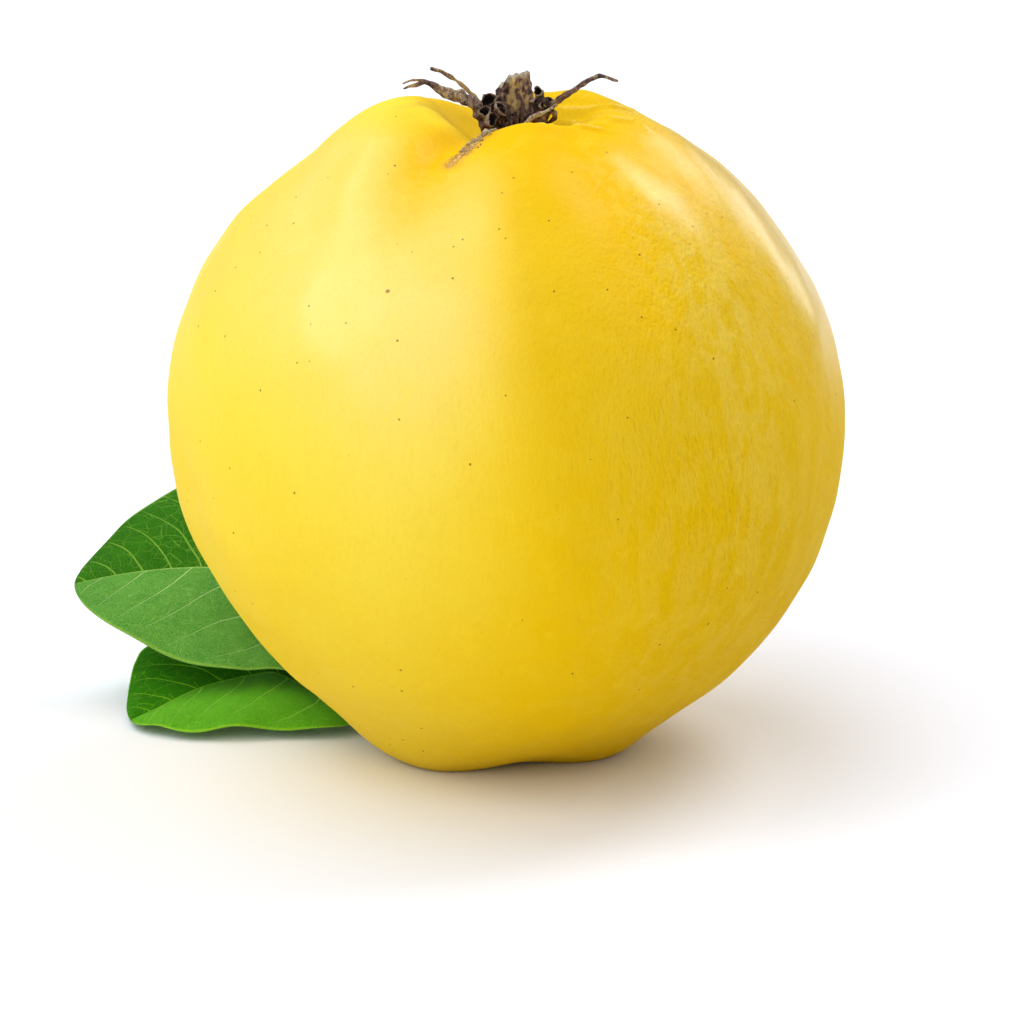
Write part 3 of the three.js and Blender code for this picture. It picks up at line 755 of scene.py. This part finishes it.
def make_rib(name, material):
    """The midrib and the leaf stalk as one tapering tube, sunk into the blade's underside."""
    form = LEAVES[name]
    sink = np.array([0, 0, -0.30])
    line = [*form["stalk"], *(np.array(p) + sink for p in form["middle"][:-1])]
    sizes = [(0.85, 0.85), (0.8, 0.85), (0.75, 0.8), (0.6, 0.7), (0.45, 0.55), (0.38, 0.45),
             (0.3, 0.38), (0.22, 0.3)]
    heap = Heap()
    heap.add(tube(line, sizes, 90, 14, 0.03, 21), 0.5)
    heap.piece(name + "_rib", material, "leaf", None)


# The withered calyx

# Sepals and scraps: a line, its half widths and half thicknesses, its tint and its wool
SEPALS = [
    ([(-0.9, 0.5, 78.8), (-1.8, 0.3, 81.8), (-2.6, 0.1, 83.9), (-3.6, -0.1, 84.8),
      (-5.4, -0.5, 85.6), (-7.0, -0.7, 86.15), (-8.0, -0.8, 86.9), (-9.3, -1.0, 87.5),
      (-10.7, -1.2, 87.65), (-12.0, -1.6, 87.25)],
     [(1.3, 0.6), (1.0, 0.6), (0.9, 0.62), (0.9, 0.68), (0.9, 0.78), (0.85, 0.82), (0.66, 0.62),
      (0.36, 0.30), (0.22, 0.17), (0.12, 0.11)],
     [0.3, 0.3, 0.45, 0.45, 0.5, 0.6, 0.6, 0.25, 0.6, 0.7],
     [0.0, 0.1, 0.2, 0.35, 0.45, 0.45, 0.35, 0.2, 0.1, 0.2]),
    ([(-9.2, -0.95, 87.35), (-10.1, -0.6, 87.0), (-11.0, -0.4, 86.8), (-11.9, -0.2, 86.4)],
     [(0.34, 0.28), (0.3, 0.24), (0.24, 0.2), (0.12, 0.11)], [0.3, 0.7, 0.7, 0.5],
     [0.0, 0.1, 0.1, 0.0]),
    ([(0.3, 2.6, 78.8), (-1.3, 2.6, 82.2), (-2.5, 2.3, 84.5), (-3.6, 2.2, 85.7),
      (-4.7, 2.1, 86.75), (-6.0, 1.9, 87.65), (-7.2, 1.7, 88.35), (-8.5, 1.5, 88.8)],
     [(1.1, 0.5), (0.75, 0.45), (0.5, 0.42), (0.4, 0.34), (0.32, 0.28), (0.27, 0.25),
      (0.32, 0.28), (0.26, 0.22)],
     [0.8, 1.0, 1.1, 1.05, 1.0, 0.95, 0.7, 0.4], [0.1, 0.15, 0.2, 0.1, 0.1, 0.1, 0.2, 0.3]),
    ([(3.8, 0.6, 79.0), (5.3, -0.1, 82.0), (6.8, -0.6, 84.2), (8.4, -1.0, 85.5),
      (10.4, -1.4, 86.9), (12.0, -1.7, 87.9), (13.2, -1.8, 88.25), (14.3, -1.9, 87.95),
      (15.3, -2.0, 87.6)],
     [(1.1, 0.6), (0.8, 0.6), (0.62, 0.54), (0.52, 0.46), (0.44, 0.38), (0.4, 0.34),
      (0.38, 0.32), (0.34, 0.28), (0.18, 0.16)],
     [0.4, 0.45, 0.45, 0.4, 0.4, 0.45, 0.3, 0.3, 0.8],
     [0.0, 0.3, 0.35, 0.25, 0.2, 0.25, 0.4, 0.4, 0.1]),
    ([(0.9, -3.9, 79.2), (0.3, -5.6, 80.6), *(tuple(skin_point(np.array(d), np.array(r), 0.25))
      for d, r in ((9.5, 266.0), (11.5, 263.5), (13.5, 262.0), (15.5, 260.5)))],
     [(1.1, 0.4), (0.9, 0.4), (0.85, 0.36), (0.7, 0.34), (0.45, 0.26), (0.15, 0.12)],
     [0.5, 0.8, 0.9, 1.0, 1.0, 1.0], [0.0, 0.3, 0.5, 0.6, 0.6, 0.5]),
    ([(3.0, -2.4, 81.6), (4.4, -2.1, 83.0), (6.0, -2.0, 83.7), (7.6, -1.6, 84.6)],
     [(0.32, 0.3), (0.34, 0.3), (0.3, 0.26), (0.2, 0.16)], [0.5, 0.7, 0.7, 0.5],
     [0.3, 0.6, 0.7, 0.4]),
    ([(5.6, -0.3, 79.5), (5.7, -0.3, 82.3), (5.8, -0.4, 84.2)],
     [(0.8, 0.7), (0.75, 0.7), (0.3, 0.3)], [0.2, 0.3, 0.3], [0.0, 0.1, 0.1]),
    ([(4.9, -0.5, 80.0), (4.9, -0.5, 84.4), (5.8, -0.7, 85.1), (6.6, -0.9, 84.3),
      (6.7, -0.9, 83.4)],
     [(0.6, 0.6), (0.6, 0.55), (0.55, 0.5), (0.5, 0.45), (0.35, 0.3)], [0.2, 0.3, 0.2, 0.1, 0.1],
     [0.0, 0.0, 0.1, 0.0, 0.0]),
]
# Hollow curled ends of filaments: mouth, foot, outer radius
CURLS = [
    ((-1.2, -0.9, 85.0), (0.6, -0.6, 80.6), 0.95),
    ((-1.5, -2.2, 83.8), (0.8, -0.9, 80.4), 0.82),
    ((0.6, -2.6, 84.4), (1.4, -1.2, 80.6), 0.80),
    ((-0.5, -3.5, 83.0), (1.2, -1.6, 80.2), 0.78),
    ((5.2, -0.9, 86.3), (4.6, -0.4, 81.0), 0.62),
    ((6.5, -0.9, 85.1), (5.6, -0.4, 81.0), 0.46),
    ((5.8, -1.3, 84.5), (5.2, -0.7, 80.8), 0.42),
    ((5.0, -1.3, 85.0), (4.6, -0.7, 80.8), 0.40),
    ((6.9, -1.4, 83.9), (5.8, -0.8, 80.8), 0.36),
]


def curl(mouth, foot, radius):
    """A short curled tube that is open at its mouth, which faces forwards and up."""
    mouth, foot = np.array(mouth), np.array(foot)
    ahead = np.array([0.5 * math.sin(radius * 50), -0.8, 0.45 + 0.3 * math.cos(radius * 70)])
    ahead /= np.linalg.norm(ahead)
    bend = mouth - ahead * 1.4
    line = curve([foot, (foot + bend) / 2 + np.array([0, 0.3, 0]), bend, mouth], 22)
    line = np.vstack([line, mouth - ahead * 0.3, mouth - ahead * 0.8, mouth - ahead * 1.2])
    sizes = np.r_[np.linspace(0.4, 0.9, 20), 1.0, 1.06, 0.98, 0.70, 0.62, 0.35] * radius
    along = np.gradient(line, axis=0)
    along[20:] = ahead
    along /= np.linalg.norm(along, axis=1)[:, None]
    across = np.cross(along, [0.2, 0.1, 1.0])
    across /= np.linalg.norm(across, axis=1)[:, None]
    over = np.cross(across, along)
    turn = -2 * np.pi * np.arange(18) / 18
    ragged = (1 + 0.17 * np.sin(2 * turn + radius * 70) + 0.12 * np.sin(3 * turn + radius * 40)
              + 0.09 * np.sin(7 * turn + radius * 90))
    rings = (line[:, None] + across[:, None] * (sizes[:, None] * np.cos(turn) * ragged)[..., None]
             + over[:, None] * (sizes[:, None] * np.sin(turn) * ragged)[..., None])
    return rings


def stout_sepal():
    """The stout upright sepal, ridged along its length and torn at the top, with its tint
    and wool."""
    levels = np.r_[np.linspace(0, 1, 50), 1.0, 0.985, 0.955]
    height = 78.4 + 9.9 * levels
    left = np.interp(height, [78.4, 82.3, 83.3, 84.3, 85.5, 87.1, 87.8, 88.3],
                     [1.8, 1.7, 0.9, -0.1, -0.3, -0.25, 0.15, 0.6])
    right = np.interp(height, [78.4, 82.3, 84, 85, 86, 88.3], [3.4, 3.6, 4.5, 4.7, 4.4, 4.1])
    thick = np.interp(levels, [0, 0.5, 1], [0.9, 0.95, 0.8])
    shrink = np.ones(len(levels))
    shrink[-3:] = [0.82, 0.55, 0.3]
    sides = 96
    turn = 2 * np.pi * np.arange(sides) / sides
    square = (np.abs(np.cos(turn)) ** 3 + np.abs(np.sin(turn)) ** 3) ** (-1 / 3)
    u, v = np.cos(turn) * square, np.sin(turn) * square
    middle, half = (left + right) / 2, (right - left) / 2 * shrink
    x = middle[:, None] + half[:, None] * u
    ridge = (0.11 * np.sin(9 * u + 1) + 0.08 * np.sin(17 * u + 0.5)) * np.sign(v)
    fold = 0.45 * np.exp(-((u + 0.32) / 0.10) ** 2) * (v < 0)
    y = 1.3 + (thick * shrink)[:, None] * v + ridge * (np.abs(v) > 0.4) + fold
    y -= 0.35 * (u * 0.8) ** 2
    top = (88.0 + 0.30 * u + 0.10 * smooth(0.5, 1.0, u) + 0.08 * np.sin(13 * u + 2)
           - 0.75 * smooth(-0.35, -1.0, u))
    z = 78.4 + levels[:, None] * (top - 78.4)
    rings = np.stack([x, y, z], -1)
    flat = rings.reshape(-1, 3)
    shake = np.stack([lumps(flat, 1.0, s) for s in (31, 32, 33)], -1) * 0.09
    tint = np.interp(u, [-1, -0.45, -0.3, 0.1, 0.35, 0.7, 1],
                     [0.35, 0.35, 0.75, 0.8, 0.6, 0.55, 0.6])
    tint = tint + 0.22 * lumps(flat, 0.9, 34).reshape(x.shape)
    wool = 0.25 * (u < -0.3) + smooth(0.90, 1.0, levels)[:, None] * 0.65
    return (flat + shake).reshape(rings.shape), tint, wool


def make_calyx():
    dry = husk_material("withered_sepals", dark=(0.040, 0.022, 0.022), brown=(0.21, 0.125, 0.10),
                        tan=(0.58, 0.40, 0.16), wool=(0.58, 0.52, 0.40), size=0.5)
    heap = Heap()
    for n, (line, sizes, tints, wools) in enumerate(SEPALS):
        steps = 14 * len(line)
        share = np.linspace(0, 1, steps + 1)
        tint = np.interp(share, np.linspace(0, 1, len(tints)), tints)
        wool = np.interp(share, np.linspace(0, 1, len(wools)), wools)
        heap.add(tube(line, sizes, steps, 20, 0.20, 40 + n, 3), tint, wool)
    heap.add(*stout_sepal())
    angles = [1.2, 3.0, 4.6, 6.2, 7.2]
    under = [calyx_ring(a, 0.6) for a in angles]
    over = [calyx_ring(a, 1.5 - 0.6 * (a > 7)) for a in reversed(angles)]
    heap.add(np.array(under + over), 0.4)
    add_cork(heap)
    heap.piece("calyx_sepals", dry, "sepals", "calyx")


def add_cork(heap):
    """Grains of cork along the crack, more of them near the sepals."""
    draw = np.random.default_rng(23)
    for _ in range(160):
        share = draw.random() ** 1.9
        at = share * 0.8 * (len(CRACK) - 1)
        i = min(int(at), len(CRACK) - 2)
        a, b = np.array(CRACK[i]), np.array(CRACK[i + 1])
        down, round_ = a + (at - i) * (b - a)
        aside = (1 - share * 0.1) * min(max(draw.normal(), -1.6), 1.6) * 1.05
        size = draw.uniform(0.07, 0.22) * (1 - 0.5 * share)
        turned = math.degrees(aside / RADIUS / math.sin(math.radians(down)))
        spot = skin_point(np.array(down), np.array(round_ + turned), size * 0.15)
        heap.add(cork_grain(spot, size, draw), draw.uniform(0.85, 1.3),
                 draw.uniform(0.3, 1.1) * (1 - share * 0.7))


def cork_grain(spot, size, draw):
    """A small uneven lump, its rings from the bottom up."""
    angles = np.radians([20, 55, 90, 125, 160])
    turn = 2 * np.pi * np.arange(8) / 8
    way = np.stack([np.sin(angles)[:, None] * np.cos(turn), np.sin(angles)[:, None] * np.sin(turn),
                    np.cos(angles)[:, None] + 0 * turn], -1)
    uneven = 1 + draw.uniform(-0.3, 0.3, way.shape[:2])
    lump = spot + way * (uneven * size)[..., None] * draw.uniform(0.7, 1.4, 3)
    return lump[::-1]


def calyx_ring(angle, off):
    """A ring round the calyx on the floor of the hollow, raised off it."""
    middle = heading(CALYX_TILT, 0)
    across = np.array([0.0, 1.0, 0.0])
    along = np.cross(across, middle)
    turn = 2 * np.pi * np.arange(48) / 48
    tilt = math.radians(angle)
    ways = (middle * math.cos(tilt) + math.sin(tilt) * (
        along * np.cos(turn)[:, None] + across * np.sin(turn)[:, None]))
    down = np.degrees(np.arccos(ways[:, 2]))
    round_ = np.degrees(np.arctan2(ways[:, 1], ways[:, 0]))
    return skin_point(down, round_, off + 0.1 * lumps(ways * 45, 2.0, 50))


def make_stamens():
    dark = husk_material("withered_stamens", dark=(0.014, 0.008, 0.008),
                         brown=(0.12, 0.065, 0.055), tan=(0.34, 0.22, 0.13),
                         wool=(0.42, 0.34, 0.28), size=0.4)
    draw = np.random.default_rng(17)
    heap = Heap()
    disc = [[(2.0 + 1.7 * s * math.cos(t), -1.3 + 1.1 * s * math.sin(t), z)
             for t in 2 * np.pi * np.arange(24) / 24]
            for s, z in ((0.8, 79.0), (1, 79.4), (1, 80.2), (0.7, 80.6))]
    heap.add(np.array(disc), 0.3)
    for mouth, foot, radius in CURLS:
        rings = curl(mouth, foot, radius)
        at = np.arange(len(rings))
        flat = rings.reshape(-1, 3)
        shake = np.stack([lumps(flat, 1.1, s) for s in (71, 72, 73)], -1)
        rings = rings + 0.10 * shake.reshape(rings.shape)
        # Inside the open mouth the tint falls to the darkest and the wool to none: painted shade
        # in the hollow.
        heap.add(rings, np.interp(at, [0, 14, 22, 24], [0.3, 0.55, 0.95, -0.8]),
                 np.interp(at, [10, 18, 22, 24], [0.1, 0.40, 0.62, -1.0]))
    for i in range(26):
        turn = 2 * math.pi * (i + 0.7 * draw.random()) / 26
        spread = draw.uniform(0.7, 1.9)
        top = draw.uniform(82.0, 84.6)
        foot = np.array([2.0 + 0.9 * math.cos(turn), -1.3 + 0.7 * math.sin(turn), 80.0])
        head = np.array([1.9 + spread * 1.35 * math.cos(turn),
                         -1.4 + 0.75 * spread * math.sin(turn), top])
        bend = (foot + head) / 2 + draw.normal(size=3) * 0.3
        sizes = [(0.2, 0.2), (0.16, 0.16), (0.2, 0.2), (0.32, 0.28)]
        heap.add(tube([foot, bend, head], sizes, 12, 8, 0.2, i), 0.35)
    heap.piece("stamen_tuft", dark, "stamens", "stamens")


def make_stub():
    bark = husk_material("spur_bark", dark=(0.06, 0.035, 0.02), brown=(0.17, 0.11, 0.065),
                         tan=(0.34, 0.24, 0.14), wool=(0.42, 0.36, 0.28), size=0.9)
    levels = np.r_[1.6, np.linspace(1.65, 8.2, 34), 8.3]
    radii = np.interp(levels, [1.6, 1.65, 2.2, 4.0, 6.2, 7.6, 8.2, 8.3],
                      [2.2, 2.5, 3.1, 2.7, 2.5, 2.7, 2.3, 1.9])
    turn = 2 * np.pi * np.arange(48) / 48
    knobby = radii[:, None] * (1 + 0.05 * np.sin(3 * turn)) + 0.10 * np.sin(levels * 7)[:, None]
    rings = np.stack([knobby * np.cos(turn), knobby * np.sin(turn),
                      np.broadcast_to(levels[:, None], knobby.shape)], -1)
    flat = rings.reshape(-1, 3)
    flat = flat * (1 + 0.03 * lumps(flat, 1.4, 61))[:, None] ** np.array([1, 1, 0])
    heap = Heap()
    heap.add(flat.reshape(rings.shape), 0.5)
    heap.piece("spur_stub", bark, "wood", "stem")


# Floor, light and camera

MIDDLE = Vector((AXIS[0] * MM, 0, HALF_HEIGHT * MM))
FLOOR_HALF = 4.0
WORLD_LIGHT = 0.45
# Soft boxes: name, direction from the fruit, distance, size and share of light
LIGHTS = [
    ("left_box", (-0.78, -0.14, 0.88), 2.2, (1.2, 1.4), 0.22),
    ("front_box", (-0.36, -0.66, 0.66), 2.6, (2.6, 2.6), 0.41),
    ("top_box", (-0.32, 0.30, 1.0), 3.2, (2.6, 2.6), 0.33),
    ("right_strip", (0.56, 0.74, 0.31), 2.0, (0.62, 1.1), 0.095),
    ("right_lamp", (0.46, 0.44, 0.77), 2.0, (0.85, 0.95), 0.35),
]


def make_floor():
    a = FLOOR_HALF
    mesh = bpy.data.meshes.new("floor")
    corners = [(-a, -a, 0), (a, -a, 0), (a, a, 0), (-a, a, 0)]
    mesh.from_pydata(corners, [], [(0, 1, 2, 3)])
    floor = bpy.data.objects.new("floor", mesh)
    bpy.context.scene.collection.objects.link(floor)
    floor.data.materials.append(floor_material())


def soft_light(name, way, distance, size, share):
    """A soft box in a direction from the fruit; its share is what it adds to a white
    sheet that faces it."""
    light = bpy.data.lights.new(name, "AREA")
    light.shape = "ELLIPSE"
    light.size, light.size_y = size
    light.energy = share * (math.pi * distance) ** 2
    lamp = bpy.data.objects.new(name, light)
    way = Vector(way).normalized()
    lamp.location = MIDDLE + way * distance
    lamp.rotation_euler = (-way).to_track_quat("-Z", "Y").to_euler()
    bpy.context.scene.collection.objects.link(lamp)


def make_light():
    world = bpy.data.worlds.new("studio")
    world.use_nodes = True
    background = world.node_tree.nodes["Background"]
    background.inputs["Color"].default_value = (1, 1, 1, 1)
    background.inputs["Strength"].default_value = WORLD_LIGHT
    bpy.context.scene.world = world
    for light in LIGHTS:
        soft_light(*light)
    bpy.context.scene.view_settings.view_transform = "Standard"


ELEVATION = 13.0
DISTANCE = 0.52
PIXELS_PER_MM = 7.7
PICTURE = 1024
CENTRE_PIXEL = (497.6, 430.5)
SENSOR = 36


def make_camera():
    """The camera sees the fruit's middle at its pixel of the picture."""
    tilt = math.radians(ELEVATION)
    back = Vector((0, -math.cos(tilt), math.sin(tilt)))
    right = Vector((1, 0, 0))
    above = back.cross(right)
    spot = MIDDLE + back * DISTANCE
    aim = (MIDDLE + right * (PICTURE / 2 - CENTRE_PIXEL[0]) / PIXELS_PER_MM * MM
           - above * (PICTURE / 2 - CENTRE_PIXEL[1]) / PIXELS_PER_MM * MM)
    lens = bpy.data.cameras.new("camera")
    lens.sensor_width = SENSOR
    lens.lens = PIXELS_PER_MM / MM * DISTANCE / PICTURE * SENSOR
    lens.clip_start = 0.01
    camera = bpy.data.objects.new("camera", lens)
    camera.location = spot
    camera.rotation_euler = (aim - spot).to_track_quat("-Z", "Y").to_euler()
    bpy.context.scene.collection.objects.link(camera)
    bpy.context.scene.camera = camera


stalk = stalk_material()
upper_leaf = leaf_material("upper_leaf", (0.013, 0.098, 0.001), (0.042, 0.215, 0.010),
                           (1.0, 1.0, 0.90), 0.42)
lower_leaf = leaf_material("lower_leaf", (0.018, 0.120, 0.001), (0.060, 0.270, 0.002),
                           (0.98, 1.18, 0.35), 0.60)
make_fruit()
for leaf, green in (("leaf_upper", upper_leaf), ("leaf_lower", lower_leaf)):
    make_blade(leaf, green)
    make_rib(leaf, stalk)
make_calyx()
make_stamens()
make_stub()
make_floor()
make_light()
make_camera()
